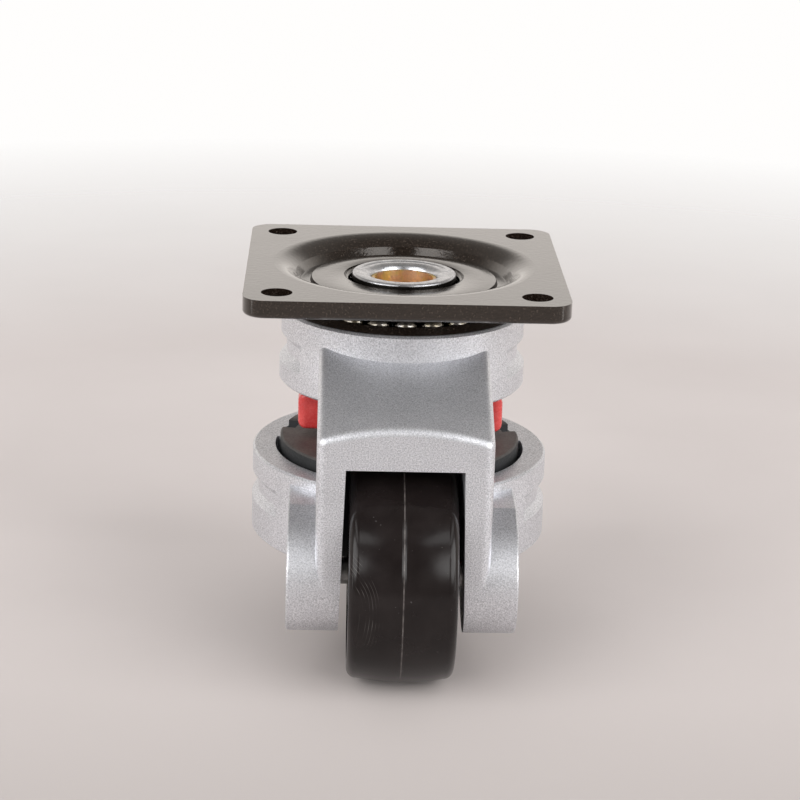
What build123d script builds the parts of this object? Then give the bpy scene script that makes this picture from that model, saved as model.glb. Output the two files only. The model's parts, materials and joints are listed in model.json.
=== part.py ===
from build123d import *
import math
import os

# Levelling castor: a top plate on a swivel ball race, a die-cast body with a fork for the wheel, and a
# foot that a hand wheel screws down. Millimetres, +Z up. The origin is on the swivel axis, on the
# plate's mounting face. The wheel stands towards -Y and its axle lies along X.

# ---- driving dimensions: top plate ----
PLATE_SIDE = 73.0  # square plate
PLATE_THICK = 4.2
PLATE_CORNER_R = 5.0
PLATE_EDGE_R = 1.0  # rolled lower edge
BOLT_INSET = 7.5  # bolt holes inside the plate's edges
BOLT_HOLE_R = 3.5
BEND_WIDTH = 5.2  # soft bend from the flat to the crisp line of the dish
BEND_DROP = 2.4
BEND_FALL = 0.9  # slope of the bend at the crisp line
LINE_STEP = 1.2  # width of the channel's outer wall
CHANNEL_WIDTH = 2.2
CHANNEL_DROP = 4.3  # depth of the channel over the large balls
DISC_STEP = 0.4  # width of the channel's inner wall
DISC_EDGE_DROP = 3.4
DISC_INNER_DROP = 2.9  # the disc rises a little towards the pin
POCKET_BEND = 0.9  # bend from the disc down into the pin's pocket
PRESSED_THICK = 2.6  # metal left in the pressed part
CUP_CORNER = 2.1  # corner under the pocket

# ---- driving dimensions: king pin, bush and bearings ----
PIN_TOP_DROP = 2.1  # the pin's head lies this far under the mounting face
FLANGE_R = 12.2
FLANGE_THICK = 3.2
FLANGE_GAP = 0.9  # ring gap between the flange and the plate
FLANGE_EDGE = 0.5
PIN_RIM_R = 10.6  # inside this line the head is turned a little lower
PIN_RIM_STEP = 0.15
PIN_R = 10.0
PIN_BORE_R = 7.6
BUSH_TOP_DROP = 1.4  # the bush starts this far under the pin's head
BUSH_WALL = 0.7  # at the top, above the step
BUSH_STEP_ROOM = 0.1  # between the step and the clip
SMALL_BALL_R = 1.25
SMALL_BALL_GAP = 0.45
LARGE_BALL_R = 2.75
LARGE_BALL_GAP = 0.5
LARGE_PITCH_R = 23.0
BALL_TRACK_DEPTH = 0.9  # how deep the large balls sit in the plate's track
RACE_SHOULDER = 1.65  # metal beside the balls
RACE_FLOOR = 1.2  # metal under the track
RACE_DROP = 0.2  # the race lies this far under the top of the body
RACE_LIP_INSET = 1.4  # raised lip that shields the balls
RACE_LIP_RISE = 1.7
RACE_EDGE = 0.5
ROLL_LIP = 1.6  # the pin's rolled lower lip
PIN_WASHER_THICK = 1.5
PIN_WASHER_R = 14.0

# ---- driving dimensions: body casting ----
UPPER_TOP_Z = -9.9
UPPER_RIM = 1.0  # wall outside the race
UPPER_SPREAD = 0.35  # the ring is this much wider under its groove
UPPER_HEIGHT = 17.7
UPPER_WALL = 3.4
WEB_THICK = 5.0
HUB_ROOM = 1.5  # under the plate's cup
HUB_DRAFT = 1.0
GROOVE_DEPTH = 1.35
GROOVE_WIDTH = 3.0
GROOVE_SLOPE = 1.65  # height of each sloping side of a groove
GROOVE_FRONT_ANGLE = 56.0  # the grooves end this far from the front, each side
UPPER_BAND = 6.2  # plain band above the groove
LOWER_TOP_Z = -44.5
LOWER_WALL = 5.3
LOWER_SPREAD = 0.1
LOWER_HEIGHT = 20.1
LOWER_BAND = 5.7
CAST_EDGE = 0.5  # softened edges of the casting
FORK_WIDTH = 38.8
FORK_REACH = 13.5  # front face, in front of the axle
FORK_CORNER_R = 2.2
CREST_Z = -24.0
CREST_FALL = 3.1  # the crest is crowned: its ends lie this much lower
CREST_R = 2.0
ROOT_Y = -17.3  # the fork's bridge starts inside the upper ring
ROOT_Z = -12.3
ROOT_FALL = 0.45
SLOT_PLAY = 1.0  # each side of the wheel, at the slot's top
SLOT_FLARE = 1.1  # each side, more at the slot's bottom
SLOT_ROOM = 3.4  # over the wheel
BOSS_R = 13.5
BOSS_WIDTH = 51.4  # over both bosses
SHELF_RISE = 1.4  # the flat top of each boss over its round
SHELF_FRONT = 2.0  # the flat starts this far behind the axle
KEY_WIDTH = 5.6
KEY_DEPTH = 4.2
KEY_ANGLE = 14.0  # the keys sit this far behind the sides
KEY_ROOT = 1.0  # how far a key reaches into the ring
RIB_COUNT = 6
RIB_THICK = 2.4
RIB_HEIGHT = 6.0
RIB_START = 30.0

# ---- driving dimensions: wheel and axle ----
WHEEL_R = 25.0
WHEEL_WIDTH = 24.0
SCREW_ROOM = 14.0  # from the swivel axis to the wheel's tread
TREAD_ROOM = 1.45  # over the tread, under the hand wheel's rim
WHEEL_ROOM = 1.5  # behind the wheel, in the casting
TREAD_DROP = 1.0  # crown of the tread
SHOULDER_R = 2.2
MOULD_LINE = 0.12  # height of the mould line
MOULD_LINE_HALF = 0.5
RIM_THICK = 4.2
HUB_R = 8.0
WEB_RECESS = 7.0
SPOKE_COUNT = 6
SPOKE_THICK = 2.2
SPOKE_ROOT = 0.5  # how far a spoke reaches into the hub and the rim
SPOKE_RECESS = 1.2  # the spokes lie this far inside the rim's face
AXLE_R = 3.0
AXLE_HEAD_R = 5.5
AXLE_HEAD_HEIGHT = 4.0
AXLE_KEY_WIDTH = 4.0
AXLE_KEY_DEPTH = 2.0
AXLE_TAIL = 0.3  # the axle stands this far out of its nut
AXLE_SUNK = 0.5  # head and nut lie this far inside the bosses
NUT_WIDTH = 10.0
NUT_HEIGHT = 5.0
AXLE_WASHER_R = 6.0
AXLE_WASHER_THICK = 1.2
WHEEL_BUSH_R = 4.6
WHEEL_BUSH_LENGTH = 9.0

# ---- driving dimensions: spindle and hand wheel ----
JOURNAL_R = 5.2
SPINDLE_TOP_Z = -8.4
SPINDLE_EDGE = 0.5
COLLAR_R = 11.0
COLLAR_THICK = 2.6
THRUST_THICK = 0.9
HEX_WIDTH = 15.0
THREAD_R = 7.0
THREAD_CHAMFER = 1.0
SPINDLE_SHORT = 1.0  # the spindle ends this far above the underside of the foot
CLIP_THICK = 1.0
CLIP_RING = 1.1  # width of a clip's ring outside its groove
CLIP_BITE = 0.55  # depth of a clip's groove
CLIP_MOUTH = 2.8  # opening of a clip
HAND_TOP_Z = -31.6
HAND_LOW_Z = -40.2
HAND_R = 24.2
HAND_ROOM = 1.5  # in the casting, round the hand wheel
LUG_LENGTH = 5.7
LUG_COUNT = 8
LUG_WIDTH = 6.4
LUG_R = 1.9
LUG_RIM_R = 0.8  # softened upper and lower edges of each lug's tip
LUG_ROOT = 1.0  # how far a lug reaches into the core
HAND_HUB_R = 12.5
HAND_WALL = 2.0
HAND_POCKET = 2.6
HAND_HUB_SUNK = 0.7  # recess under the hub, over the clip
HAND_HUB_RIM = 0.5

# ---- driving dimensions: foot ----
FOOT_TOP_Z = -41.8
FOOT_BOTTOM_Z = -70.0
FOOT_R = 28.3
FOOT_PLAY = 1.2  # between the foot and the lower ring
FOOT_ROOM = 2.6  # behind the wheel, in the foot
FOOT_SLOT_PLAY = 2.4  # each side of the wheel
FOOT_EDGE = 0.4
SOLE_THICK = 4.0
SOLE_INSET = 0.7
SOLE_HOLE_PLAY = 2.0  # round the spindle, in the sole
INSERT_R = 9.0
INSERT_FLANGE_R = 10.0
INSERT_FLANGE_THICK = 2.5
INSERT_LENGTH = 17.0
INSERT_DROP = 1.3  # flange below the foot's top
FOOT_WALL = 3.4
FOOT_ROOF = 4.0
CORE_ANGLES = (0, 45, 90, 135, 180)
CORE_ARC = 12.0  # degrees between the ends of a core's middle line
SOLE_GROOVE = 0.9
SOLE_GROOVE_WIDTH = 1.5
SOLE_GROOVE_INSETS = (5.5, 11.0)

# ---- clearances ----
FIT = 0.05  # running and push fits, on the radius
FACE = 0.1  # between faces that bear on each other
RUN = 0.3  # between curved faces that move past each other
BALL_FACE = 0.15  # between balls and the track that runs over them
TOUCH = 0.01  # pieces of one solid reach this far into each other

os.makedirs("parts", exist_ok=True)

# ---- places worked out from the above: plate, pin and bearings ----
bolt_spacing = PLATE_SIDE - 2 * BOLT_INSET
channel_outer_r = LARGE_PITCH_R + CHANNEL_WIDTH / 2
channel_inner_r = LARGE_PITCH_R - CHANNEL_WIDTH / 2
dish_line_r = channel_outer_r + LINE_STEP
dish_outer_r = dish_line_r + BEND_WIDTH
disc_r = channel_inner_r - DISC_STEP
pin_hole_r = PIN_R + RUN
pocket_r = FLANGE_R + FLANGE_GAP
flange_under_z = -PIN_TOP_DROP - FLANGE_THICK
small_ball_z = flange_under_z - FIT - SMALL_BALL_R
small_pitch_r = PIN_R + BALL_FACE + SMALL_BALL_R
small_ball_count = int(2 * math.pi * small_pitch_r / (2 * SMALL_BALL_R + SMALL_BALL_GAP))
large_ball_count = int(2 * math.pi * LARGE_PITCH_R / (2 * LARGE_BALL_R + LARGE_BALL_GAP))
cup_floor_z = small_ball_z - SMALL_BALL_R - BALL_FACE
cup_under_z = cup_floor_z - PRESSED_THICK
channel_under_z = -CHANNEL_DROP - PRESSED_THICK
large_ball_z = channel_under_z + BALL_TRACK_DEPTH - BALL_FACE - LARGE_BALL_R
race_outer_r = LARGE_PITCH_R + LARGE_BALL_R + RACE_SHOULDER
race_inner_r = LARGE_PITCH_R - LARGE_BALL_R - RACE_SHOULDER
race_low_z = large_ball_z - LARGE_BALL_R - FIT - RACE_FLOOR
race_top_z = UPPER_TOP_Z - RACE_DROP
race_lip_r = race_outer_r - RACE_LIP_INSET
web_low_z = race_low_z - WEB_THICK
pin_washer_z = web_low_z - PIN_WASHER_THICK
pin_low_z = pin_washer_z - ROLL_LIP
bush_top_z = -PIN_TOP_DROP - BUSH_TOP_DROP
bush_out_r = PIN_BORE_R - FIT

# ---- places worked out from the above: body, spindle, wheel and foot ----
upper_r = race_outer_r + FIT + UPPER_RIM
upper_low_r = upper_r + UPPER_SPREAD
upper_low_z = UPPER_TOP_Z - UPPER_HEIGHT
lower_hole_r = FOOT_R + FOOT_PLAY
lower_r = lower_hole_r + LOWER_WALL
lower_low_z = LOWER_TOP_Z - LOWER_HEIGHT
wheel_offset = WHEEL_R + SCREW_ROOM
tread_rise = math.sqrt(WHEEL_R**2 - (wheel_offset - HAND_R) ** 2)
axle_depth = tread_rise + TREAD_ROOM - HAND_LOW_Z
half_boss = BOSS_WIDTH / 2
half_fork = FORK_WIDTH / 2
half_wheel = WHEEL_WIDTH / 2
fork_face_y = -wheel_offset - FORK_REACH
axle_plane = Plane(origin=(0, -wheel_offset, -axle_depth), x_dir=(0, 1, 0), z_dir=(1, 0, 0))
wheel_axis = Axis(axle_plane.origin, (1, 0, 0))
tread_r = WHEEL_R - MOULD_LINE
edge_r = WHEEL_R - TREAD_DROP
quarter_r = WHEEL_R - TREAD_DROP / 4 - MOULD_LINE / 2
rim_inner_r = edge_r - RIM_THICK
flat_x = half_wheel - SHOULDER_R
wheel_back_y = -SCREW_ROOM
slot_top_half = half_wheel + SLOT_PLAY
slot_low_half = slot_top_half + SLOT_FLARE
slot_top_z = WHEEL_R - axle_depth + SLOT_ROOM
slot_low_z = -axle_depth - BOSS_R - RUN
key_angles = (KEY_ANGLE, 180 - KEY_ANGLE)
key_in_r = lower_hole_r - KEY_DEPTH
head_seat_x = half_boss - AXLE_SUNK - AXLE_HEAD_HEIGHT
nut_seat_x = AXLE_SUNK + NUT_HEIGHT + AXLE_WASHER_THICK - half_boss
nut_outer_x = AXLE_SUNK - half_boss
thrust_top_z = pin_low_z - FACE
collar_top_z = thrust_top_z - THRUST_THICK - FACE
collar_low_z = collar_top_z - COLLAR_THICK
clip_z = SPINDLE_TOP_Z - 2 * CLIP_THICK
bush_step_z = clip_z - BUSH_STEP_ROOM
hand_hub_low_z = HAND_LOW_Z + HAND_HUB_SUNK
hand_clip_z = hand_hub_low_z - FACE - CLIP_THICK
hand_core_r = HAND_R - LUG_LENGTH
hand_height = HAND_TOP_Z - HAND_LOW_Z
foot_core_low_z = FOOT_BOTTOM_Z + SOLE_THICK
spindle_end_z = FOOT_BOTTOM_Z + SPINDLE_SHORT
foot_height = FOOT_TOP_Z - foot_core_low_z
insert_top_z = FOOT_TOP_Z - INSERT_DROP
insert_seat_z = insert_top_z - INSERT_FLANGE_THICK
core_in_r = INSERT_R + FOOT_WALL
core_out_r = key_in_r - RUN - FOOT_WALL


def finish(name, builder):
    """Label a finished piece and write it under its own name."""
    builder.part.label = name
    export_step(builder.part, "parts/" + name + ".step")


# ---- top plate: flat square, pressed dish with a ball track underneath ----
with BuildPart() as top_plate:
    with BuildSketch():
        RectangleRounded(PLATE_SIDE, PLATE_SIDE, PLATE_CORNER_R)
    extrude(amount=-PLATE_THICK)
    fillet(top_plate.edges().group_by(Axis.Z)[0], radius=PLATE_EDGE_R)
    with BuildSketch():
        Circle(dish_outer_r)
        with GridLocations(bolt_spacing, bolt_spacing, 2, 2):
            Circle(BOLT_HOLE_R)
    extrude(amount=-PLATE_THICK, mode=Mode.SUBTRACT)
    with BuildSketch(Plane.XZ):
        with BuildLine():
            bend_out = (dish_outer_r + TOUCH, 0)
            line_top = (dish_line_r, -BEND_DROP)
            disc_in = (pocket_r + POCKET_BEND, -DISC_INNER_DROP)
            pocket_top = (pocket_r, -DISC_INNER_DROP - POCKET_BEND)
            Spline(bend_out, line_top, tangents=[(-1, 0), (-1, -BEND_FALL)])
            Polyline(
                line_top,
                (channel_outer_r, -CHANNEL_DROP),
                (channel_inner_r, -CHANNEL_DROP),
                (disc_r, -DISC_EDGE_DROP),
                disc_in,
            )
            RadiusArc(disc_in, pocket_top, POCKET_BEND)
            Polyline(
                pocket_top,
                (pocket_r, cup_floor_z),
                (pin_hole_r, cup_floor_z),
                (pin_hole_r, cup_under_z),
                (pocket_r + PRESSED_THICK - CUP_CORNER, cup_under_z),
                (pocket_r + PRESSED_THICK, cup_under_z + CUP_CORNER),
                (pocket_r + PRESSED_THICK, -DISC_INNER_DROP - PRESSED_THICK),
                (disc_r - PRESSED_THICK, -DISC_EDGE_DROP - PRESSED_THICK),
                (channel_inner_r - PRESSED_THICK, channel_under_z),
                (channel_outer_r + PRESSED_THICK, channel_under_z),
                (dish_line_r + PRESSED_THICK, -PLATE_THICK),
                (dish_outer_r + TOUCH, -PLATE_THICK),
                bend_out,
            )
        make_face()
    revolve(axis=Axis.Z)
    with BuildSketch(Plane.XZ):
        with Locations((LARGE_PITCH_R, large_ball_z)):
            Circle(LARGE_BALL_R + BALL_FACE)
    revolve(axis=Axis.Z, mode=Mode.SUBTRACT)
finish("top_plate", top_plate)

# ---- king pin: hollow, flanged at the top, rolled over at the bottom ----
with BuildPart() as king_pin:
    with BuildSketch(Plane.XZ):
        with BuildLine():
            Polyline(
                (PIN_BORE_R, -PIN_TOP_DROP - PIN_RIM_STEP),
                (PIN_RIM_R, -PIN_TOP_DROP - PIN_RIM_STEP),
                (PIN_RIM_R, -PIN_TOP_DROP),
                (FLANGE_R - FLANGE_EDGE, -PIN_TOP_DROP),
                (FLANGE_R, -PIN_TOP_DROP - FLANGE_EDGE),
                (FLANGE_R, flange_under_z),
                (PIN_R, flange_under_z),
                (PIN_R, pin_washer_z),
                (PIN_R + ROLL_LIP, pin_washer_z),
                (PIN_R + ROLL_LIP / 2, pin_low_z),
                (PIN_BORE_R, pin_low_z),
                close=True,
            )
        make_face()
    revolve(axis=Axis.Z)
finish("king_pin", king_pin)

# ---- spindle bush: stepped liner pushed into the king pin ----
with BuildPart() as spindle_bush:
    with BuildSketch(Plane.XZ):
        with BuildLine():
            Polyline(
                (bush_out_r - BUSH_WALL, bush_top_z),
                (bush_out_r, bush_top_z),
                (bush_out_r, pin_low_z),
                (JOURNAL_R + FIT, pin_low_z),
                (JOURNAL_R + FIT, bush_step_z),
                (bush_out_r - BUSH_WALL, bush_step_z),
                close=True,
            )
        make_face()
    revolve(axis=Axis.Z)
finish("spindle_bush", spindle_bush)

# ---- balls: two full rows ----
with BuildPart() as upper_balls:
    with Locations((0, 0, small_ball_z)):
        with PolarLocations(small_pitch_r, small_ball_count):
            Sphere(SMALL_BALL_R)
finish("upper_balls", upper_balls)

with BuildPart() as lower_balls:
    with Locations((0, 0, large_ball_z)):
        with PolarLocations(LARGE_PITCH_R, large_ball_count, start_angle=-90):
            Sphere(LARGE_BALL_R)
finish("lower_balls", lower_balls)

# ---- lower race: hardened ring let into the top of the body, with a lip outside the balls ----
with BuildPart() as lower_race:
    with BuildSketch(Plane.XZ):
        with BuildLine():
            Polyline(
                (race_inner_r, race_low_z),
                (race_outer_r, race_low_z),
                (race_outer_r, race_top_z),
                (race_lip_r, race_top_z + RACE_LIP_RISE),
                (race_lip_r - RACE_EDGE, race_top_z + RACE_LIP_RISE),
                (LARGE_PITCH_R, race_top_z),
                (race_inner_r + RACE_EDGE, race_top_z),
                (race_inner_r, race_top_z - RACE_EDGE),
                close=True,
            )
        make_face()
        with Locations((LARGE_PITCH_R, large_ball_z)):
            Circle(LARGE_BALL_R + FIT, mode=Mode.SUBTRACT)
    revolve(axis=Axis.Z)
finish("lower_race", lower_race)

# ---- pin washer: under the body's web ----
with BuildPart() as pin_washer:
    with BuildSketch(Plane.XY.offset(pin_washer_z)):
        Circle(PIN_WASHER_R)
        Circle(PIN_R + FIT, mode=Mode.SUBTRACT)
    extrude(amount=PIN_WASHER_THICK)
finish("pin_washer", pin_washer)

# ---- fork block: crowned bridge and both arms, before the slot is cut ----
with BuildPart() as fork_block:
    for section_y, crown_z, fall in ((ROOT_Y, ROOT_Z, ROOT_FALL), (fork_face_y, CREST_Z, CREST_FALL)):
        with BuildSketch(Plane.XZ.offset(-section_y)):
            with BuildLine():
                ThreePointArc((-half_fork, crown_z - fall), (0, crown_z), (half_fork, crown_z - fall))
                Polyline(
                    (half_fork, crown_z - fall),
                    (half_fork, -axle_depth),
                    (-half_fork, -axle_depth),
                    (-half_fork, crown_z - fall),
                )
            make_face()
    loft(ruled=True)
    fillet(fork_block.edges().filter_by(Axis.Z).group_by(Axis.Y)[0], radius=FORK_CORNER_R)
    front_face = fork_block.faces().filter_by(Axis.Y).sort_by(Axis.Y)[0]
    fillet(front_face.edges().sort_by(Axis.Z)[-1:], radius=CREST_R)

# ---- bosses: round at the axle, flat on top, running back into the lower ring ----
shelf_height = BOSS_R + SHELF_RISE
ring_back = wheel_offset - lower_hole_r / 2
ring_low = lower_low_z + axle_depth
top_angle = math.atan2(shelf_height, SHELF_FRONT) + math.acos(BOSS_R / math.hypot(shelf_height, SHELF_FRONT))
under_angle = math.atan2(ring_low, ring_back) - math.acos(BOSS_R / math.hypot(ring_low, ring_back))
with BuildPart() as boss_block:
    with BuildSketch(axle_plane):
        Circle(BOSS_R)
        with BuildLine():
            Polyline(
                (0, 0),
                (BOSS_R * math.cos(top_angle), BOSS_R * math.sin(top_angle)),
                (SHELF_FRONT, shelf_height),
                (ring_back, shelf_height),
                (ring_back, ring_low),
                (BOSS_R * math.cos(under_angle), BOSS_R * math.sin(under_angle)),
                close=True,
            )
        make_face()
    extrude(amount=half_boss, both=True)
    for boss_face in (boss_block.faces().sort_by(Axis.X)[0], boss_block.faces().sort_by(Axis.X)[-1]):
        fillet(boss_face.edges(), radius=CAST_EDGE)


def ring_section(top_z, height, top_r, spread, band, inner_r):
    """Half section of a body ring, with its outer edges softened; it widens under its groove."""
    low_r = top_r + spread
    Polygon(
        (inner_r, top_z),
        (top_r - CAST_EDGE, top_z),
        (top_r, top_z - CAST_EDGE),
        (top_r, top_z - band),
        (low_r, top_z - band - GROOVE_WIDTH - 2 * GROOVE_SLOPE),
        (low_r, top_z - height + CAST_EDGE),
        (low_r - CAST_EDGE, top_z - height),
        (inner_r, top_z - height),
        align=None,
    )


def groove_section(top_z, top_r, band):
    """Section of the groove round a body ring; its sides run on past the ring at their own slope."""
    low_z = top_z - band - GROOVE_WIDTH - 2 * GROOVE_SLOPE
    Polygon(
        (top_r + GROOVE_DEPTH, top_z - band + GROOVE_SLOPE),
        (top_r - GROOVE_DEPTH, top_z - band - GROOVE_SLOPE),
        (top_r - GROOVE_DEPTH, low_z + GROOVE_SLOPE),
        (top_r + GROOVE_DEPTH, low_z - GROOVE_SLOPE),
        align=None,
    )


# ---- body casting: upper ring, fork, bosses and lower ring in one piece ----
groove_arc = 360 - 2 * GROOVE_FRONT_ANGLE
groove_plane = Plane.XZ.rotated((0, 0, GROOVE_FRONT_ANGLE - 90))
with BuildPart() as body_casting:
    add(fork_block.part)
    with BuildSketch(Plane.XZ):
        ring_section(LOWER_TOP_Z, LOWER_HEIGHT, lower_r, LOWER_SPREAD, LOWER_BAND, lower_hole_r)
    revolve(axis=Axis.Z)
    with BuildSketch(Plane.XZ):
        ring_section(UPPER_TOP_Z, UPPER_HEIGHT, upper_r, UPPER_SPREAD, UPPER_BAND, 0)
    revolve(axis=Axis.Z)
    add(boss_block.part)
    # room for the foot and the hand wheel
    with BuildSketch(Plane.XY.offset(FOOT_TOP_Z + 2 * RUN)):
        Circle(lower_hole_r)
    extrude(amount=slot_low_z - FOOT_TOP_Z, mode=Mode.SUBTRACT)
    with BuildSketch(Plane.XY.offset(upper_low_z)):
        Circle(HAND_R + HAND_ROOM)
    extrude(amount=LOWER_TOP_Z - upper_low_z, mode=Mode.SUBTRACT)
    # the wheel's slot, wider towards the bottom
    with BuildSketch(Plane.XZ.offset(-wheel_back_y - WHEEL_ROOM)):
        with BuildLine():
            Polyline(
                (-slot_top_half, slot_top_z),
                (slot_top_half, slot_top_z),
                (slot_low_half, slot_low_z),
                (-slot_low_half, slot_low_z),
                close=True,
            )
        make_face()
    extrude(amount=WHEEL_R + FORK_REACH + 2 * WHEEL_ROOM, mode=Mode.SUBTRACT)
    # recess for the race, low hub round the pin
    with BuildSketch(Plane.XZ):
        with BuildLine():
            Polyline(
                (race_outer_r + FIT, UPPER_TOP_Z + RUN),
                (race_outer_r + FIT, race_low_z),
                (race_inner_r - RUN, race_low_z),
                (race_inner_r - RUN - HUB_DRAFT, cup_under_z - HUB_ROOM),
                (0, cup_under_z - HUB_ROOM),
                (0, UPPER_TOP_Z + RUN),
                close=True,
            )
        make_face()
    revolve(axis=Axis.Z, mode=Mode.SUBTRACT)
    # cored underside with ribs, and the pin's bore
    with BuildSketch(Plane.XY.offset(web_low_z)):
        Circle(upper_low_r - UPPER_WALL)
        with PolarLocations((upper_low_r + PIN_WASHER_R) / 2, RIB_COUNT, start_angle=RIB_START):
            Rectangle(upper_low_r - PIN_WASHER_R - 2 * RUN, RIB_THICK, mode=Mode.SUBTRACT)
    extrude(amount=upper_low_z - web_low_z, mode=Mode.SUBTRACT)
    with BuildSketch(Plane.XY.offset(web_low_z - RIB_HEIGHT)):
        Circle(upper_low_r - UPPER_WALL)
    extrude(amount=upper_low_z - web_low_z + RIB_HEIGHT, mode=Mode.SUBTRACT)
    with BuildSketch():
        Circle(PIN_R + FIT)
    extrude(amount=upper_low_z, mode=Mode.SUBTRACT)
    # grooves round both rings, ended short of the fork
    with BuildSketch(groove_plane):
        groove_section(UPPER_TOP_Z, upper_r, UPPER_BAND)
    revolve(axis=Axis.Z, revolution_arc=groove_arc, mode=Mode.SUBTRACT)
    with BuildSketch(groove_plane):
        groove_section(LOWER_TOP_Z, lower_r, LOWER_BAND)
    revolve(axis=Axis.Z, revolution_arc=groove_arc, mode=Mode.SUBTRACT)
    # keys that guide the foot
    with BuildSketch(Plane.XY.offset(LOWER_TOP_Z)):
        for key_angle in key_angles:
            with PolarLocations(key_in_r + (KEY_DEPTH + KEY_ROOT) / 2, 1, start_angle=key_angle):
                Rectangle(KEY_DEPTH + KEY_ROOT, KEY_WIDTH)
    extrude(amount=-LOWER_HEIGHT)
    # axle bore, with a recess for the head on the right and for the washer and nut on the left
    with BuildSketch(axle_plane.offset(-half_boss)):
        Circle(AXLE_R + FIT)
    extrude(amount=BOSS_WIDTH, mode=Mode.SUBTRACT)
    with BuildSketch(axle_plane.offset(half_boss)):
        Circle(AXLE_HEAD_R + RUN)
    extrude(amount=head_seat_x - half_boss, mode=Mode.SUBTRACT)
    with BuildSketch(axle_plane.offset(-half_boss)):
        Circle(AXLE_WASHER_R + RUN)
    extrude(amount=nut_seat_x + half_boss, mode=Mode.SUBTRACT)
finish("body_casting", body_casting)

# ---- axle: cap screw through both bosses ----
with BuildPart() as axle:
    with BuildSketch(axle_plane.offset(nut_outer_x - AXLE_TAIL)):
        Circle(AXLE_R)
    extrude(amount=head_seat_x - nut_outer_x + AXLE_TAIL)
    with BuildSketch(axle_plane.offset(head_seat_x)):
        Circle(AXLE_HEAD_R)
    extrude(amount=AXLE_HEAD_HEIGHT)
    with BuildSketch(axle_plane.offset(head_seat_x + AXLE_HEAD_HEIGHT)):
        RegularPolygon(AXLE_KEY_WIDTH / 2, 6, major_radius=False)
    extrude(amount=-AXLE_KEY_DEPTH, mode=Mode.SUBTRACT)
    chamfer(axle.faces().sort_by(Axis.X)[-1].outer_wire().edges(), length=CAST_EDGE)
finish("axle", axle)

with BuildPart() as axle_washer:
    with BuildSketch(axle_plane.offset(nut_seat_x)):
        Circle(AXLE_WASHER_R)
        Circle(AXLE_R + FIT, mode=Mode.SUBTRACT)
    extrude(amount=-AXLE_WASHER_THICK)
finish("axle_washer", axle_washer)

with BuildPart() as axle_nut:
    with BuildSketch(axle_plane.offset(nut_seat_x - AXLE_WASHER_THICK)):
        RegularPolygon(NUT_WIDTH / 2, 6, major_radius=False)
        Circle(AXLE_R + FIT, mode=Mode.SUBTRACT)
    extrude(amount=-NUT_HEIGHT)
finish("axle_nut", axle_nut)

# ---- wheel: crowned tread with a mould line, ribbed web on both sides ----
with BuildPart() as wheel:
    with BuildSketch(Plane(origin=axle_plane.origin, x_dir=(1, 0, 0), z_dir=(0, -1, 0))):
        with BuildLine():
            shoulder_left = (-half_wheel, edge_r - SHOULDER_R)
            shoulder_right = (half_wheel, edge_r - SHOULDER_R)
            ThreePointArc((-flat_x, edge_r), (-flat_x / 2, quarter_r), (-MOULD_LINE_HALF, tread_r))
            Polyline((-MOULD_LINE_HALF, tread_r), (0, WHEEL_R), (MOULD_LINE_HALF, tread_r))
            ThreePointArc((MOULD_LINE_HALF, tread_r), (flat_x / 2, quarter_r), (flat_x, edge_r))
            RadiusArc((flat_x, edge_r), shoulder_right, SHOULDER_R)
            Polyline(shoulder_right, (half_wheel, WHEEL_BUSH_R), (-half_wheel, WHEEL_BUSH_R), shoulder_left)
            RadiusArc(shoulder_left, (-flat_x, edge_r), SHOULDER_R)
        make_face()
    revolve(axis=wheel_axis)
    for side in (1, -1):
        with BuildSketch(axle_plane.offset(side * half_wheel)):
            Circle(rim_inner_r)
            Circle(HUB_R, mode=Mode.SUBTRACT)
            with PolarLocations((rim_inner_r + HUB_R) / 2, SPOKE_COUNT):
                Rectangle(rim_inner_r - HUB_R + 2 * SPOKE_ROOT, SPOKE_THICK, mode=Mode.SUBTRACT)
        extrude(amount=-side * WEB_RECESS, mode=Mode.SUBTRACT)
        with BuildSketch(axle_plane.offset(side * half_wheel)):
            Circle(rim_inner_r)
            Circle(HUB_R, mode=Mode.SUBTRACT)
        extrude(amount=-side * SPOKE_RECESS, mode=Mode.SUBTRACT)
finish("wheel", wheel)

# ---- wheel bushes: one pushed into each end of the hub ----
with BuildPart() as wheel_bush_left:
    with BuildSketch(axle_plane.offset(-half_wheel)):
        Circle(WHEEL_BUSH_R - FIT)
        Circle(AXLE_R + FIT, mode=Mode.SUBTRACT)
    extrude(amount=WHEEL_BUSH_LENGTH)
finish("wheel_bush_left", wheel_bush_left)

with BuildPart() as wheel_bush_right:
    with BuildSketch(axle_plane.offset(half_wheel)):
        Circle(WHEEL_BUSH_R - FIT)
        Circle(AXLE_R + FIT, mode=Mode.SUBTRACT)
    extrude(amount=-WHEEL_BUSH_LENGTH)
finish("wheel_bush_right", wheel_bush_right)

# ---- thrust washer and spindle ----
with BuildPart() as thrust_washer:
    with BuildSketch(Plane.XY.offset(thrust_top_z)):
        Circle(COLLAR_R)
        Circle(JOURNAL_R + FIT, mode=Mode.SUBTRACT)
    extrude(amount=-THRUST_THICK)
finish("thrust_washer", thrust_washer)

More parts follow.
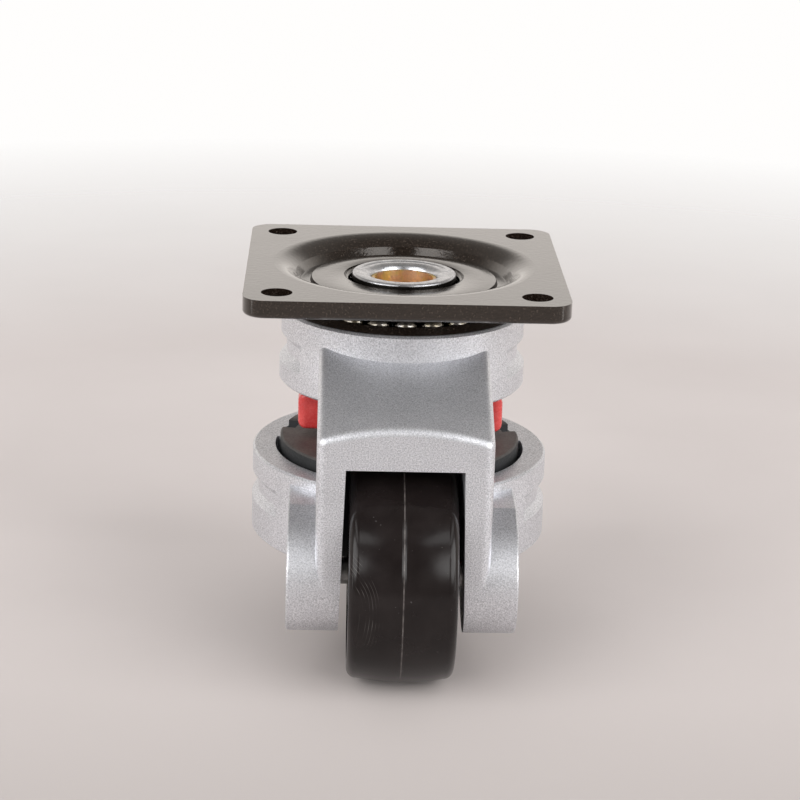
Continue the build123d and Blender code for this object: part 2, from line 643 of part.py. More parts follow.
with BuildPart() as spindle:
    with BuildSketch(Plane.XZ):
        with BuildLine():
            Polyline(
                (0, SPINDLE_TOP_Z),
                (JOURNAL_R - SPINDLE_EDGE, SPINDLE_TOP_Z),
                (JOURNAL_R, SPINDLE_TOP_Z - SPINDLE_EDGE),
                (JOURNAL_R, clip_z + CLIP_THICK),
                (JOURNAL_R - CLIP_BITE, clip_z + CLIP_THICK),
                (JOURNAL_R - CLIP_BITE, clip_z - FIT),
                (JOURNAL_R, clip_z - FIT),
                (JOURNAL_R, collar_top_z),
                (COLLAR_R, collar_top_z),
                (COLLAR_R, collar_low_z),
                (THREAD_R, collar_low_z),
                (THREAD_R, hand_clip_z + CLIP_THICK),
                (THREAD_R - CLIP_BITE, hand_clip_z + CLIP_THICK),
                (THREAD_R - CLIP_BITE, hand_clip_z - FIT),
                (THREAD_R, hand_clip_z - FIT),
                (THREAD_R, spindle_end_z + THREAD_CHAMFER),
                (THREAD_R - THREAD_CHAMFER, spindle_end_z),
                (0, spindle_end_z),
                close=True,
            )
        make_face()
    revolve(axis=Axis.Z)
    with BuildSketch(Plane.XY.offset(collar_low_z)):
        RegularPolygon(HEX_WIDTH / 2, 6, major_radius=False)
    extrude(amount=hand_hub_low_z - collar_low_z)
finish("spindle", spindle)


def make_clip(low_z, shaft_r):
    """Open snap ring that grips a groove in a shaft."""
    with BuildPart() as clip:
        with BuildSketch(Plane.XY.offset(low_z)):
            Circle(shaft_r + CLIP_RING)
            Circle(shaft_r - CLIP_BITE + FIT, mode=Mode.SUBTRACT)
            with Locations((0, shaft_r)):
                Rectangle(CLIP_MOUTH, 2 * shaft_r, mode=Mode.SUBTRACT)
        extrude(amount=CLIP_THICK - FIT)
    return clip


finish("spindle_clip", make_clip(clip_z, JOURNAL_R))
finish("adjuster_clip", make_clip(hand_clip_z, THREAD_R))

# ---- hand wheel: core disc with separate lugs ----
with BuildPart() as adjuster_wheel:
    with BuildSketch(Plane.XY.offset(HAND_LOW_Z)):
        Circle(hand_core_r)
    extrude(amount=hand_height)
    with BuildSketch(Plane.XY.offset(HAND_TOP_Z)):
        Circle(HAND_HUB_R)
    extrude(amount=collar_low_z - FACE - HAND_TOP_Z)
    with Locations((0, 0, HAND_LOW_Z)):
        with PolarLocations(HAND_R - (LUG_LENGTH + LUG_ROOT) / 2, LUG_COUNT):
            Box(LUG_LENGTH + LUG_ROOT, LUG_WIDTH, hand_height, align=(Align.CENTER, Align.CENTER, Align.MIN))
    lug_edges = adjuster_wheel.edges().filter_by(GeomType.LINE)
    fillet([e for e in lug_edges if math.hypot(e.center().X, e.center().Y) > HAND_R - LUG_R], radius=LUG_R)
    lug_rims = adjuster_wheel.edges().filter_by(Axis.Z, reverse=True)
    fillet([e for e in lug_rims if math.hypot(e.center().X, e.center().Y) > HAND_R - LUG_R], radius=LUG_RIM_R)
    # moulding pockets above and below, round the hub
    for level, depth in ((HAND_TOP_Z, -HAND_POCKET), (HAND_LOW_Z, HAND_POCKET)):
        with BuildSketch(Plane.XY.offset(level)):
            Circle(hand_core_r - HAND_WALL)
            Circle(HAND_HUB_R, mode=Mode.SUBTRACT)
        extrude(amount=depth, mode=Mode.SUBTRACT)
    with BuildSketch(Plane.XY.offset(HAND_LOW_Z)):
        Circle(HAND_HUB_R - HAND_HUB_RIM)
    extrude(amount=HAND_HUB_SUNK, mode=Mode.SUBTRACT)
    with BuildSketch(Plane.XY.offset(HAND_LOW_Z)):
        RegularPolygon(HEX_WIDTH / 2 + FIT, 6, major_radius=False)
    extrude(amount=collar_low_z - HAND_LOW_Z, mode=Mode.SUBTRACT)
finish("adjuster_wheel", adjuster_wheel)


def foot_outline(radius):
    """Round foot with a slot for the castor wheel and a notch for each key."""
    Circle(radius)
    with Locations((0, wheel_back_y + FOOT_ROOM)):
        slot_width = WHEEL_WIDTH + 2 * FOOT_SLOT_PLAY
        Rectangle(slot_width, 2 * radius, align=(Align.CENTER, Align.MAX), mode=Mode.SUBTRACT)
    for key_angle in key_angles:
        with PolarLocations(key_in_r + KEY_DEPTH / 2, 1, start_angle=key_angle):
            Rectangle(KEY_DEPTH + 2 * RUN, KEY_WIDTH + 2 * RUN, mode=Mode.SUBTRACT)


# ---- foot body: moulded, cored from below ----
with BuildPart() as foot_body:
    with BuildSketch(Plane.XY.offset(foot_core_low_z)):
        foot_outline(FOOT_R)
    extrude(amount=foot_height)
    chamfer(foot_body.faces().sort_by(Axis.Z)[-1].edges(), length=FOOT_EDGE)
    with BuildSketch(Plane.XY.offset(foot_core_low_z)):
        Circle(INSERT_R + FIT)
    extrude(amount=foot_height, mode=Mode.SUBTRACT)
    with BuildSketch(Plane.XY.offset(FOOT_TOP_Z)):
        Circle(INSERT_FLANGE_R + FIT)
    extrude(amount=insert_seat_z - FOOT_TOP_Z, mode=Mode.SUBTRACT)
    with BuildSketch(Plane.XY.offset(foot_core_low_z)):
        for core_angle in CORE_ANGLES:
            with BuildLine(mode=Mode.PRIVATE) as core_line:
                CenterArc((0, 0), (core_in_r + core_out_r) / 2, core_angle - CORE_ARC / 2, CORE_ARC)
            SlotArc(core_line.edges()[0], core_out_r - core_in_r)
    extrude(amount=foot_height - FOOT_ROOF, mode=Mode.SUBTRACT)
finish("foot_body", foot_body)

with BuildPart() as thread_insert:
    with BuildSketch(Plane.XY.offset(insert_seat_z)):
        Circle(INSERT_FLANGE_R)
    extrude(amount=INSERT_FLANGE_THICK)
    with BuildSketch(Plane.XY.offset(insert_seat_z)):
        Circle(INSERT_R)
    extrude(amount=-INSERT_LENGTH)
    with BuildSketch(Plane.XY.offset(insert_top_z)):
        Circle(THREAD_R + FIT)
    extrude(amount=-INSERT_LENGTH - INSERT_FLANGE_THICK, mode=Mode.SUBTRACT)
finish("thread_insert", thread_insert)

# ---- sole: rubber, grooved underneath ----
with BuildPart() as foot_sole:
    with BuildSketch(Plane.XY.offset(FOOT_BOTTOM_Z)):
        foot_outline(FOOT_R - SOLE_INSET)
        Circle(THREAD_R + SOLE_HOLE_PLAY, mode=Mode.SUBTRACT)
    extrude(amount=SOLE_THICK)
    with BuildSketch(Plane.XY.offset(FOOT_BOTTOM_Z)):
        for inset in SOLE_GROOVE_INSETS:
            Circle(FOOT_R - inset)
            Circle(FOOT_R - inset - SOLE_GROOVE_WIDTH, mode=Mode.SUBTRACT)
    extrude(amount=SOLE_GROOVE, mode=Mode.SUBTRACT)
finish("foot_sole", foot_sole)
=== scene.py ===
import json
import math

import bpy
from mathutils import Matrix, Vector

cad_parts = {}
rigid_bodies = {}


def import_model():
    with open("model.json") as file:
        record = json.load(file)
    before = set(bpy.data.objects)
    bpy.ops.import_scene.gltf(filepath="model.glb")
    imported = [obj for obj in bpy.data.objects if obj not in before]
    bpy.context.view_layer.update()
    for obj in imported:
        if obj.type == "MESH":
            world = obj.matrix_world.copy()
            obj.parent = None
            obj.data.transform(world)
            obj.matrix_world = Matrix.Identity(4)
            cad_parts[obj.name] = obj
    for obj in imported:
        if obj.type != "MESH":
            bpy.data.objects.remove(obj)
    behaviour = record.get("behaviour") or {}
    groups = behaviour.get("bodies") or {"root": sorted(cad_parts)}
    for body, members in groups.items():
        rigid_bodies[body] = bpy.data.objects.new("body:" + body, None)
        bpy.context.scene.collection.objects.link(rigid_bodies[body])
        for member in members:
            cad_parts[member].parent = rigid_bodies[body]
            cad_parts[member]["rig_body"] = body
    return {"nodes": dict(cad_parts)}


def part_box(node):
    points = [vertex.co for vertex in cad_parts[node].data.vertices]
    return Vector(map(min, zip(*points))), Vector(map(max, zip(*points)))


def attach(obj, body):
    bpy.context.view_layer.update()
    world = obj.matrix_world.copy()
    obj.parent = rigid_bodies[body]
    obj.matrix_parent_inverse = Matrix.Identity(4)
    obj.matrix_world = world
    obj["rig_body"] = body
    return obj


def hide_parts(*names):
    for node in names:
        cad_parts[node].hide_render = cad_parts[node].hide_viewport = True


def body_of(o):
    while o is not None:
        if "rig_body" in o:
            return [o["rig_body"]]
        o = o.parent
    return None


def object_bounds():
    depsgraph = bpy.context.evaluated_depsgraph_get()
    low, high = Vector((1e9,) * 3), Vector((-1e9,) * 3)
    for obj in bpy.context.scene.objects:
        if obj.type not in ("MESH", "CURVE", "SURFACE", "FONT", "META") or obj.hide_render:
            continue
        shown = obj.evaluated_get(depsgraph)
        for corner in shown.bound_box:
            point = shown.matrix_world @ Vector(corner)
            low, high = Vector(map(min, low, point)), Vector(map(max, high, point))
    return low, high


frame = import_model()
cad_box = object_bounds()

MM = 0.001
SWIVEL = (0.0, 0.0, 0.0)  # a point of the swivel axis, which stands along Z
nodes = frame["nodes"]
scene = bpy.context.scene


# ---------------------------------------------------------------- node helpers
def new_material(name):
    """A material with its Principled shader and object coordinates ready to use."""
    material = bpy.data.materials.new(name)
    material.use_nodes = True
    tree = material.node_tree
    shader = tree.nodes["Principled BSDF"]
    place = tree.nodes.new("ShaderNodeTexCoord")
    return material, tree, shader, place.outputs["Object"]


def rgba(colour):
    """Opaque colour from a grey level or an RGB triple."""
    if not isinstance(colour, tuple):
        colour = (colour, colour, colour)
    return (*colour, 1.0)


def feed(tree, socket, value):
    """Link a socket to an input, or write a number, a grey level or an RGB triple into it."""
    if isinstance(value, bpy.types.NodeSocket):
        tree.links.new(value, socket)
    else:
        socket.default_value = rgba(value) if socket.type == "RGBA" else value


def dress(tree, shader, inputs):
    """Feed the shader's inputs by their names."""
    for name, value in inputs.items():
        feed(tree, shader.inputs[name], value)


def noise(tree, vector, size, detail=2.0, roughness=0.5):
    """Noise whose grains are about size metres across."""
    node = tree.nodes.new("ShaderNodeTexNoise")
    node.inputs["Scale"].default_value = 1.0 / size
    node.inputs["Detail"].default_value = detail
    node.inputs["Roughness"].default_value = roughness
    tree.links.new(vector, node.inputs["Vector"])
    return node.outputs["Fac"]


def noise_along(tree, value, size, detail=2.0):
    """Noise along one value, whose grains are about size metres long."""
    node = tree.nodes.new("ShaderNodeTexNoise")
    node.noise_dimensions = "1D"
    node.inputs["Scale"].default_value = 1.0 / size
    node.inputs["Detail"].default_value = detail
    tree.links.new(value, node.inputs["W"])
    return node.outputs["Fac"]


def ramp(tree, value, stops):
    """Colour ramp from (position, colour) pairs; a colour is a grey level or an RGB triple."""
    node = tree.nodes.new("ShaderNodeValToRGB")
    elements = node.color_ramp.elements
    while len(elements) < len(stops):
        elements.new(0.5)
    for element, (position, colour) in zip(elements, stops):
        element.position = position
        element.color = rgba(colour)
    tree.links.new(value, node.inputs["Fac"])
    return node.outputs["Color"]


def mix(tree, factor, first, second, blend="MIX"):
    """Mix of two colours; each may be a socket, a grey level or an RGB triple."""
    node = tree.nodes.new("ShaderNodeMix")
    node.data_type = "RGBA"
    node.blend_type = blend
    inputs = {("Factor", "VALUE"): factor, ("A", "RGBA"): first, ("B", "RGBA"): second}
    for key, value in inputs.items():
        feed(tree, next(s for s in node.inputs if (s.name, s.type) == key), value)
    return next(s for s in node.outputs if s.type == "RGBA")


def lay_over(tree, base, colour, value, start, stop, most=1.0):
    """Lay a colour over base where value rises from start to stop, up to the share most."""
    return mix(tree, ramp(tree, value, [(start, 0.0), (stop, most)]), base, colour)


def maths(tree, operation, *values):
    """One Math node; each value is a socket or a number."""
    node = tree.nodes.new("ShaderNodeMath")
    node.operation = operation
    for socket, value in zip(node.inputs, values):
        feed(tree, socket, value)
    return node.outputs["Value"]


def product(tree, first, *others):
    """Product of sockets and numbers."""
    for other in others:
        first = maths(tree, "MULTIPLY", first, other)
    return first


def between(tree, share, least, most):
    """Share of 0 to 1 turned into a value from least to most."""
    return maths(tree, "ADD", product(tree, share, most - least), least)


def fade(tree, value, start, stop):
    """1 up to start, falling evenly to 0 at stop; start may be the larger of the two."""
    node = tree.nodes.new("ShaderNodeMapRange")
    limits = {"Value": value, "From Min": start, "From Max": stop, "To Min": 1.0, "To Max": 0.0}
    for name, limit in limits.items():
        feed(tree, node.inputs[name], limit)
    return node.outputs["Result"]


def band(tree, value, middle, start, stop):
    """1 within start of the middle, falling to 0 at stop on both sides."""
    away = maths(tree, "ABSOLUTE", maths(tree, "SUBTRACT", value, middle))
    return fade(tree, away, start, stop)


def bump(tree, height, distance=1.0, strength=1.0):
    """Normal bent by a height field times a distance in metres."""
    node = tree.nodes.new("ShaderNodeBump")
    node.inputs["Strength"].default_value = strength
    node.inputs["Distance"].default_value = distance
    tree.links.new(height, node.inputs["Height"])
    return node.outputs["Normal"]


def split(tree, vector):
    """X, Y and Z sockets of a vector."""
    node = tree.nodes.new("ShaderNodeSeparateXYZ")
    tree.links.new(vector, node.inputs["Vector"])
    return node.outputs["X"], node.outputs["Y"], node.outputs["Z"]


def radius_from(tree, vector, centre, axis):
    """Distance of a point from a line along one axis through centre."""
    parts = split(tree, vector)
    squares = []
    for i in ("XYZ".index(name) for name in "XYZ" if name != axis):
        offset = maths(tree, "SUBTRACT", parts[i], centre[i])
        squares.append(product(tree, offset, offset))
    return maths(tree, "SQRT", maths(tree, "ADD", *squares))


# ---------------------------------------------------------------- materials
DIP_NEAR_R, DIP_FAR_R = 10.8 * MM, 20.5 * MM  # the plate's disc dips softly between these radii
DIP_DEPTH = 1.7 * MM
MOULD_LINE = (0.08 * MM, 0.2 * MM)  # half widths: full strength, gone
ARC_CENTRE = (-24.5 * MM, 0.0, -64 * MM)  # of the scratches on the tread's upper left
ARC_MEAN_R, ARC_SPACING = 17.4 * MM, 0.75 * MM
ARC_LINE = 0.12  # a scratch's half width, as a share of the spacing
TREAD_FRONT = (-55 * MM, -53 * MM)  # Y: scratches in front of the first, none behind the second
# colour of the painted shade on the pin flange's side wall
PAINTED_SIDE_SHADE = (0.05, 0.045, 0.04)


def silver_paint():
    """Satin silver paint over a die casting: coarse metallic grain in faint patches."""
    material, tree, shader, place = new_material("silver_paint")
    grain = noise(tree, place, 0.3 * MM, detail=1.0, roughness=0.6)
    sparkle = noise(tree, place, 0.2 * MM, detail=0.0)
    patches = noise(tree, place, 9 * MM)
    dark, middle, pale = (0.46, 0.463, 0.49), (0.655, 0.66, 0.69), (0.87, 0.875, 0.91)
    base = ramp(tree, grain, [(0.3, dark), (0.5, middle), (0.7, pale)])
    base = lay_over(tree, base, (0.98, 0.96, 0.97), sparkle, 0.68, 0.78, most=0.45)
    shade = ramp(tree, patches, [(0.3, 0.93), (0.7, 1.0)])
    looks = {
        "Base Color": mix(tree, 1.0, base, shade, "MULTIPLY"),
        "Roughness": ramp(tree, grain, [(0.3, 0.49), (0.7, 0.38)]),
        "Metallic": 0.82,
        "Normal": bump(tree, grain, 0.04 * MM, 0.5),
    }
    dress(tree, shader, looks)
    return material


def black_paint():
    """Gloss black paint with dust on it; its bump also dips the disc softly towards the pin."""
    material, tree, shader, place = new_material("black_paint")
    peel = noise(tree, place, 1.3 * MM, detail=1.0)
    dust = noise(tree, place, 0.42 * MM, detail=1.0)
    cloud = noise(tree, place, 12 * MM)
    clean, hazy, dusty = (0.008, 0.005, 0.0035), (0.022, 0.015, 0.011), (0.06, 0.047, 0.038)
    rough = ramp(tree, cloud, [(0.35, 0.1), (0.7, 0.18)])
    inside = fade(tree, radius_from(tree, place, SWIVEL, "Z"), DIP_NEAR_R, DIP_FAR_R)
    dip = product(tree, inside, inside, -DIP_DEPTH)
    grain = product(tree, mix(tree, 0.35, peel, dust), 0.03 * MM)
    normal = bump(tree, maths(tree, "ADD", dip, grain))
    looks = {
        "Base Color": ramp(tree, dust, [(0.5, clean), (0.66, hazy), (0.8, dusty)]),
        "Roughness": lay_over(tree, rough, 0.5, dust, 0.66, 0.8, most=0.5),
        "IOR": 1.38,
        "Specular Tint": (1.0, 0.86, 0.72),
        "Normal": normal,
        "Coat Weight": 1.0,
        "Coat Roughness": 0.13,
        "Coat Normal": normal,
    }
    dress(tree, shader, looks)
    return material


def turned_steel(name, colour, centre, axis, roughness, tarnish=None, shaded_side=None):
    """Machined metal with tool marks round an axis, and pits.

    tarnish is a second colour in patches. The last argument is a radius and a height: painted
    shade darkens the metal outside the one and below the other.
    """
    material, tree, shader, place = new_material(name)
    radius = radius_from(tree, place, centre, axis)
    marks = noise_along(tree, radius, 0.35 * MM, detail=3.0)
    pits = noise(tree, place, 0.9 * MM, detail=3.0)
    base = mix(tree, marks, tuple(0.72 * c for c in colour), colour)
    if tarnish:
        patches = noise(tree, place, 3.2 * MM)
        base = lay_over(tree, base, tarnish, patches, 0.42, 0.6, most=0.9)
    # painted shade: the metal is darker outside a radius and below a height
    if shaded_side:
        shade_r, shade_height = shaded_side
        outside = fade(tree, radius, shade_r, shade_r - 0.2 * MM)
        below = fade(tree, split(tree, place)[2], shade_height, shade_height + 0.4 * MM)
        base = mix(tree, product(tree, outside, below), base, PAINTED_SIDE_SHADE)
    stain = ramp(tree, pits, [(0.35, 0.82), (0.6, 1.0)])
    looks = {
        "Base Color": mix(tree, 1.0, base, stain, "MULTIPLY"),
        "Roughness": ramp(tree, pits, [(0.3, roughness + 0.12), (0.7, roughness)]),
        "Metallic": 1.0,
        "Normal": bump(tree, product(tree, marks, 0.008 * MM)),
    }
    dress(tree, shader, looks)
    return material


def shaded_ball_steel():
    """Polished bearing balls with patches of grease film, darkened as painted shade and dark
    reflections.
    """
    material, tree, shader, place = new_material("shaded_ball_steel")
    # painted shade and dark reflections: both colours are far darker than polished steel, for the
    # black groove the balls sit in
    film = noise(tree, place, 2.0 * MM)
    looks = {
        "Base Color": ramp(tree, film, [(0.3, (0.3, 0.29, 0.285)), (0.7, (0.24, 0.21, 0.15))]),
        "Roughness": ramp(tree, film, [(0.3, 0.1), (0.7, 0.26)]),
        "Metallic": 1.0,
    }
    dress(tree, shader, looks)
    return material


def arc_scratches(tree, place):
    """Share of thin pale arcs on the tread's upper left, uneven in strength and broken."""
    x, y, z = split(tree, place)
    radius = radius_from(tree, place, ARC_CENTRE, "Y")
    wobble = product(tree, noise(tree, place, 9 * MM, detail=0.0), 1.8)
    phase = maths(tree, "ADD", maths(tree, "DIVIDE", radius, ARC_SPACING), wobble)
    uneven = noise_along(tree, radius, 1.25 * ARC_SPACING)
    return product(
        tree,
        fade(tree, maths(tree, "PINGPONG", phase, 0.5), 0.0, ARC_LINE),
        ramp(tree, uneven, [(0.4, 0.0), (0.65, 1.0)]),
        fade(tree, x, -4 * MM, -2 * MM),
        fade(tree, y, *TREAD_FRONT),
        band(tree, radius, ARC_MEAN_R, 1.6 * MM, 2.8 * MM),
        band(tree, z, ARC_CENTRE[2] + 5 * MM, 7 * MM, 12 * MM),
        ramp(tree, noise(tree, place, 4 * MM, detail=0.0), [(0.42, 0.05), (0.58, 1.0)]),
    )


def wheel_nylon():
    """Black semi-gloss nylon with a pale mould line, arc scratches and dust."""
    material, tree, shader, place = new_material("wheel_nylon")
    cloud = noise(tree, place, 7 * MM, detail=3.0)
    specks = noise(tree, place, 0.5 * MM, detail=1.0)
    spots = noise(tree, place, 1.4 * MM, detail=1.0)
    wear = ramp(tree, noise(tree, place, 1.6 * MM), [(0.35, 0.35), (0.65, 1.0)])
    line = product(tree, band(tree, split(tree, place)[0], 0.0, *MOULD_LINE), wear)
    dark, pale = (0.0085, 0.0062, 0.006), (0.0135, 0.0102, 0.0098)
    base = ramp(tree, cloud, [(0.35, dark), (0.7, pale)])
    base = lay_over(tree, base, (0.22, 0.21, 0.2), specks, 0.78, 0.84, most=0.4)
    base = lay_over(tree, base, (0.16, 0.15, 0.15), spots, 0.77, 0.81, most=0.25)
    base = mix(tree, arc_scratches(tree, place), base, (0.12, 0.11, 0.105))
    looks = {
        "Base Color": mix(tree, line, base, (0.1, 0.088, 0.084)),
        "Roughness": ramp(tree, cloud, [(0.35, 0.16), (0.7, 0.24)]),
        "IOR": 1.5,
        "Specular IOR Level": 0.25,
        "Normal": bump(tree, mix(tree, 0.3, cloud, spots), 0.05 * MM, 0.35),
    }
    dress(tree, shader, looks)
    return material


def red_plastic():
    """Glossy moulded red plastic."""
    material, tree, shader, place = new_material("red_plastic")
    cloud = noise(tree, place, 4 * MM)
    flow = noise(tree, place, 0.8 * MM)
    looks = {
        "Base Color": ramp(tree, cloud, [(0.3, (0.5, 0.04, 0.04)), (0.7, (0.62, 0.068, 0.062))]),
        "Roughness": ramp(tree, flow, [(0.3, 0.22), (0.7, 0.32)]),
        "Subsurface Weight": 0.08,
        "Subsurface Radius": (0.9 * MM, 0.2 * MM, 0.15 * MM),
        "Normal": bump(tree, flow, 0.02 * MM, 0.25),
    }
    dress(tree, shader, looks)
    return material


def foot_black():
    """Dark moulded foot: faces that point up are coloured lighter and brownish, its sides
    blue-black.
    """
    material, tree, shader, place = new_material("foot_black")
    up = split(tree, tree.nodes.new("ShaderNodeNewGeometry").outputs["Normal"])[2]
    cloud = noise(tree, place, 5 * MM, detail=4.0, roughness=0.6)
    fine = noise(tree, place, 0.5 * MM)
    side = ramp(tree, cloud, [(0.3, (0.007, 0.008, 0.009)), (0.7, (0.014, 0.015, 0.017))])
    top = ramp(tree, cloud, [(0.3, (0.055, 0.046, 0.042)), (0.7, (0.10, 0.088, 0.08))])
    looks = {
        "Base Color": lay_over(tree, side, top, up, 0.5, 0.9),
        "Roughness": ramp(tree, fine, [(0.3, 0.5), (0.7, 0.68)]),
        "Normal": bump(tree, fine, 0.04 * MM, 0.4),
    }
    dress(tree, shader, looks)
    return material


def sole_rubber():
    """Matte black rubber."""
    material, tree, shader, place = new_material("sole_rubber")
    fine = noise(tree, place, 0.4 * MM, detail=3.0)
    looks = {
        "Base Color": ramp(tree, fine, [(0.3, 0.014), (0.7, 0.03)]),
        "Roughness": ramp(tree, fine, [(0.3, 0.66), (0.7, 0.82)]),
        "Normal": bump(tree, fine, 0.05 * MM, 0.5),
    }
    dress(tree, shader, looks)
    return material


axle_low, axle_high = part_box("axle")
axle_centre = (axle_low + axle_high) / 2
pin_low, pin_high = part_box("king_pin")
flange_r, pin_top, pin_foot = pin_high.x, pin_high.z, pin_low.z
# the pin flange's side wall, which is darkened with painted shade
flange_shaded_side = (flange_r - 0.25 * MM, pin_top - 0.55 * MM)
GREY_TARNISH = (0.62, 0.63, 0.66)
finishes = {
    "silver": silver_paint(),
    "black": black_paint(),
    "steel": turned_steel(
        "turned_steel", (0.84, 0.85, 0.88), SWIVEL, "Z", 0.24, tarnish=GREY_TARNISH
    ),
    "pin_steel": turned_steel(
        "pin_steel", (0.86, 0.87, 0.9), SWIVEL, "Z", 0.24, tarnish=GREY_TARNISH, shaded_side=flange_shaded_side
    ),
    "axle_steel": turned_steel("axle_steel", (0.62, 0.61, 0.6), axle_centre, "X", 0.35),
    "yellow_zinc": turned_steel(
        "yellow_zinc", (1.0, 0.68, 0.46), SWIVEL, "Z", 0.34, tarnish=(0.86, 0.66, 0.22)
    ),
    "balls": shaded_ball_steel(),
    "nylon": wheel_nylon(),
    "bronze": turned_steel("bronze", (0.66, 0.47, 0.28), axle_centre, "X", 0.3),
    "red": red_plastic(),
    "foot": foot_black(),
    "sole": sole_rubber(),
}
FINISH_OF = {
    "top_plate": "black",
    "king_pin": "pin_steel",
    "spindle_bush": "yellow_zinc",
    "upper_balls": "balls",
    "lower_balls": "balls",
    "lower_race": "black",
    "pin_washer": "steel",
    "body_casting": "silver",
    "axle": "axle_steel",
    "axle_washer": "axle_steel",
    "axle_nut": "axle_steel",
    "wheel": "nylon",
    "wheel_bush_left": "bronze",
    "wheel_bush_right": "bronze",
    "thrust_washer": "steel",
    "spindle": "yellow_zinc",
    "spindle_clip": "steel",
    "adjuster_clip": "steel",
    "adjuster_wheel": "red",
    "foot_body": "foot",
    "thread_insert": "yellow_zinc",
    "foot_sole": "sole",
}
for node_name, node_object in nodes.items():
    node_object.data.materials.clear()
    node_object.data.materials.append(finishes[FINISH_OF[node_name]])


# ---------------------------------------------------------------- pin with rounded edges
PIN_R, PIN_BORE_R = 10.0 * MM, 7.6 * MM
PIN_LIP, ROLL_LIP = 1.8 * MM, 1.6 * MM  # the bore's rounded mouth, the rolled lower end
PIN_RIM_R, PIN_RIM_STEP = 10.6 * MM, 0.15 * MM
FLANGE_THICK, FLANGE_ROUND = 3.2 * MM, 0.6 * MM
SHARP_ANGLE = 25  # degrees


def arc(centre, radius, start, stop, steps):
    """Points of an arc in (radius, height), angles in degrees."""
    angles = [math.radians(start + (stop - start) * i / steps) for i in range(steps + 1)]
    return [
        (centre[0] + radius * math.cos(angle), centre[1] + radius * math.sin(angle))
        for angle in angles
    ]


def lathe(name, outline, segments=192):
    """Turned piece round the swivel axis; its outline runs anticlockwise in (radius, height)."""
    count = len(outline)
    points, faces = [], []
    for k in range(segments):
        angle = math.tau * k / segments
        points += [(r * math.cos(angle), r * math.sin(angle), z) for r, z in outline]
        here, there = k * count, (k + 1) % segments * count
        for i in range(count):
            j = (i + 1) % count
            faces.append((here + i, there + i, there + j, here + j))
    mesh = bpy.data.meshes.new(name)
    mesh.from_pydata(points, [], faces)
    mesh.shade_smooth()
    mesh.set_sharp_from_angle(angle=math.radians(SHARP_ANGLE))
    turned = bpy.data.objects.new(name, mesh)
    scene.collection.objects.link(turned)
    return turned


rim_top = pin_top - PIN_RIM_STEP
pin = lathe(
    "king_pin_turned",
    [
        (PIN_BORE_R, pin_foot),
        (PIN_R + ROLL_LIP / 2, pin_foot),
        (PIN_R + ROLL_LIP, pin_foot + ROLL_LIP),
        (PIN_R, pin_foot + ROLL_LIP),
        (PIN_R, pin_top - FLANGE_THICK),
        (flange_r, pin_top - FLANGE_THICK),
    ]
    + arc((flange_r - FLANGE_ROUND, pin_top - FLANGE_ROUND), FLANGE_ROUND, 0, 90, 6)
    + [(PIN_RIM_R, pin_top), (PIN_RIM_R - PIN_RIM_STEP, rim_top)]
    + arc((PIN_BORE_R + PIN_LIP, rim_top - PIN_LIP), PIN_LIP, 90, 180, 12),
)
pin.data.materials.append(finishes["pin_steel"])
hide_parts("king_pin")
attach(pin, body_of(nodes["king_pin"])[0])


# ---------------------------------------------------------------- floor, light and camera
AMBIENT = 0.72  # strength of the surroundings as light
LIGHT_TINT, MIRROR_TINT = (1.0, 0.99, 0.98), (1.0, 0.94, 0.88)
# directions to the studio's walls, by their Z and Y: white up to the first, darkest at the second
WALL_TOP, WALL_SIDE = (0.31, 0.52), (0.45, -0.65)
FLOOR_HALF = 3.0
FLOOR_FADE = (0.24, 0.58)  # from the swivel axis: whole up to the first, gone at the second
FLOOR_SHADE_SPAN = (-0.12, 0.04)  # Y: painted shade darkens the floor in front of the first, plain behind the second
# the last colour is the floor's painted shade in front of the castor
PAPER, PALER_PAPER, SHADED_NEAR_PAPER = (0.69, 0.63, 0.61), (0.715, 0.654, 0.634), (0.47, 0.43, 0.415)
AIM = (0.0, -0.015, -0.045)  # the castor's middle, which every lamp faces
LAMPS = {
    # place, size in metres, power in watts
    "front_left": ((-0.78, -0.68, 0.42), (1.2, 0.7), 8.8),
    "front_right": ((0.78, -0.68, 0.4), (1.2, 0.7), 9.3),
    "edge_left": ((-0.9, -0.35, 0.0), (0.14, 0.7), 0.7),
    "edge_right": ((0.9, -0.35, 0.0), (0.14, 0.7), 0.9),
    "strip_left": ((-0.72, -0.62, 1.2), (1.3, 0.3), 2.4),
    "strip_right": ((0.72, -0.62, 1.2), (1.3, 0.3), 2.4),
}
CAMERA_PLACE = (-17.09 * MM, -552.96 * MM, 139.43 * MM)
SENSOR_WIDTH, NEAREST = 36.0, 0.01  # in millimetres; in metres


def make_world():
    """White surroundings: 1 to the camera, a studio in reflections, a softer level as light."""
    world = bpy.data.worlds.new("studio")
    world.use_nodes = True
    scene.world = world
    tree = world.node_tree
    background = tree.nodes["Background"]
    path = tree.nodes.new("ShaderNodeLightPath").outputs
    mirrored = maths(tree, "MAXIMUM", path["Is Glossy Ray"], path["Is Transmission Ray"])
    # reflections: white behind and low, darker overhead and on the camera's side
    _, y, z = split(tree, tree.nodes.new("ShaderNodeTexCoord").outputs["Generated"])
    low, behind = fade(tree, z, *WALL_TOP), fade(tree, y, *WALL_SIDE)
    room = product(tree, between(tree, low, 0.32, 1.0), between(tree, behind, 0.24, 1.0))
    light = product(tree, between(tree, low, 0.6, 1.0), AMBIENT)
    gain = product(tree, mirrored, maths(tree, "SUBTRACT", room, light))
    level = maths(tree, "ADD", light, gain)
    feed(tree, background.inputs["Color"], mix(tree, mirrored, LIGHT_TINT, MIRROR_TINT))
    feed(tree, background.inputs["Strength"], maths(tree, "MAXIMUM", level, path["Is Camera Ray"]))


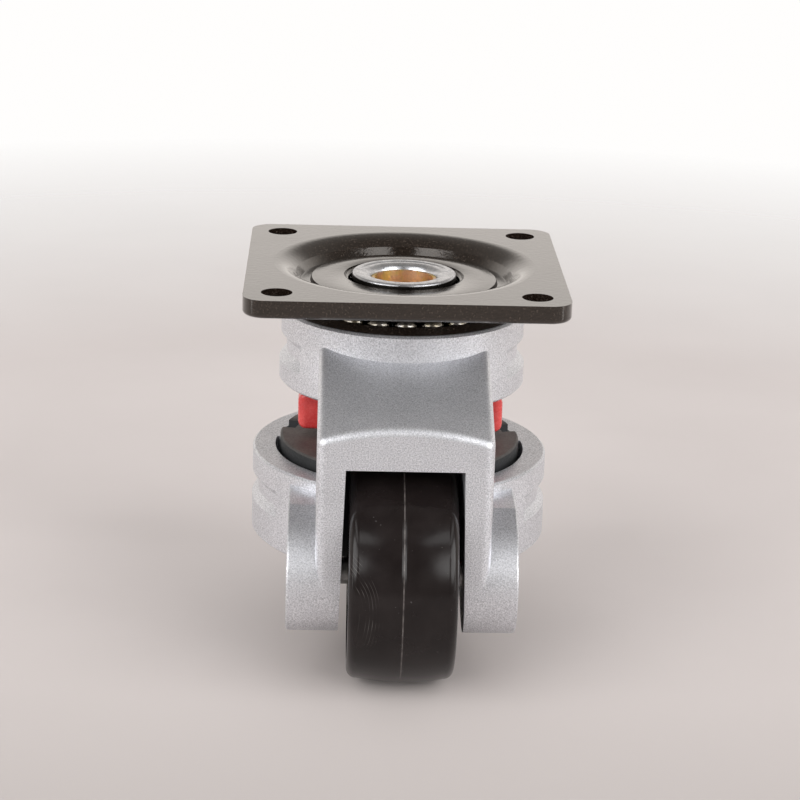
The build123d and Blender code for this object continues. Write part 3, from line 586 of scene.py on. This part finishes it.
def make_floor(level):
    """Pale floor under the wheel, darkened in front with painted shade, fading into the white
    surroundings far behind.
    """
    mesh = bpy.data.meshes.new("floor")
    corners = ((-1, -1), (1, -1), (1, 1), (-1, 1))
    points = [(x * FLOOR_HALF, y * FLOOR_HALF, level) for x, y in corners]
    mesh.from_pydata(points, [], [(0, 1, 2, 3)])
    floor = bpy.data.objects.new("floor", mesh)
    scene.collection.objects.link(floor)
    material, tree, shader, place = new_material("floor_paper")
    cloud = ramp(tree, noise(tree, place, 0.05), [(0.3, PAPER), (0.7, PALER_PAPER)])
    looks = {
        # painted shade: the floor turns darker towards the camera
        "Base Color": mix(tree, fade(tree, split(tree, place)[1], *FLOOR_SHADE_SPAN), cloud, SHADED_NEAR_PAPER),
        "Roughness": 0.75,
        "Specular IOR Level": 0.2,
        "Alpha": fade(tree, radius_from(tree, place, SWIVEL, "Z"), *FLOOR_FADE),
    }
    dress(tree, shader, looks)
    mesh.materials.append(material)


def add_softbox(name, place, size, power):
    """Elliptical soft light that faces the castor's middle."""
    light = bpy.data.lights.new(name, "AREA")
    light.shape = "ELLIPSE"
    light.size, light.size_y = size
    light.energy = power
    lamp = bpy.data.objects.new(name, light)
    lamp.location = place
    lamp.rotation_euler = (Vector(AIM) - Vector(place)).to_track_quat("-Z", "Y").to_euler()
    scene.collection.objects.link(lamp)


def add_camera(place, pitch, yaw, roll, lens):
    """Camera that looks along +Y, turned by yaw, pitched down and rolled, in degrees."""
    pitch, yaw, roll = (math.radians(angle) for angle in (pitch, yaw, roll))
    level = Vector((math.cos(yaw), -math.sin(yaw), 0.0))
    forward = Vector(
        (math.sin(yaw) * math.cos(pitch), math.cos(yaw) * math.cos(pitch), -math.sin(pitch))
    )
    above = level.cross(forward)
    right = math.cos(roll) * level + math.sin(roll) * above
    up = math.cos(roll) * above - math.sin(roll) * level
    data = bpy.data.cameras.new("camera")
    data.lens = lens
    data.sensor_width = SENSOR_WIDTH
    data.clip_start = NEAREST
    camera = bpy.data.objects.new("camera", data)
    turned = Matrix((right, up, -forward)).transposed().to_4x4()
    camera.matrix_world = Matrix.Translation(place) @ turned
    scene.collection.objects.link(camera)
    scene.camera = camera


make_world()
make_floor(cad_box[0][2])
for lamp_name, (lamp_place, lamp_size, lamp_power) in LAMPS.items():
    add_softbox(lamp_name, lamp_place, lamp_size, lamp_power)
# the camera was solved from the edges and the holes of the photographed plate
add_camera(CAMERA_PLACE, pitch=17.36, yaw=1.76, roll=1.64, lens=109.9)
scene.view_settings.view_transform = "Standard"
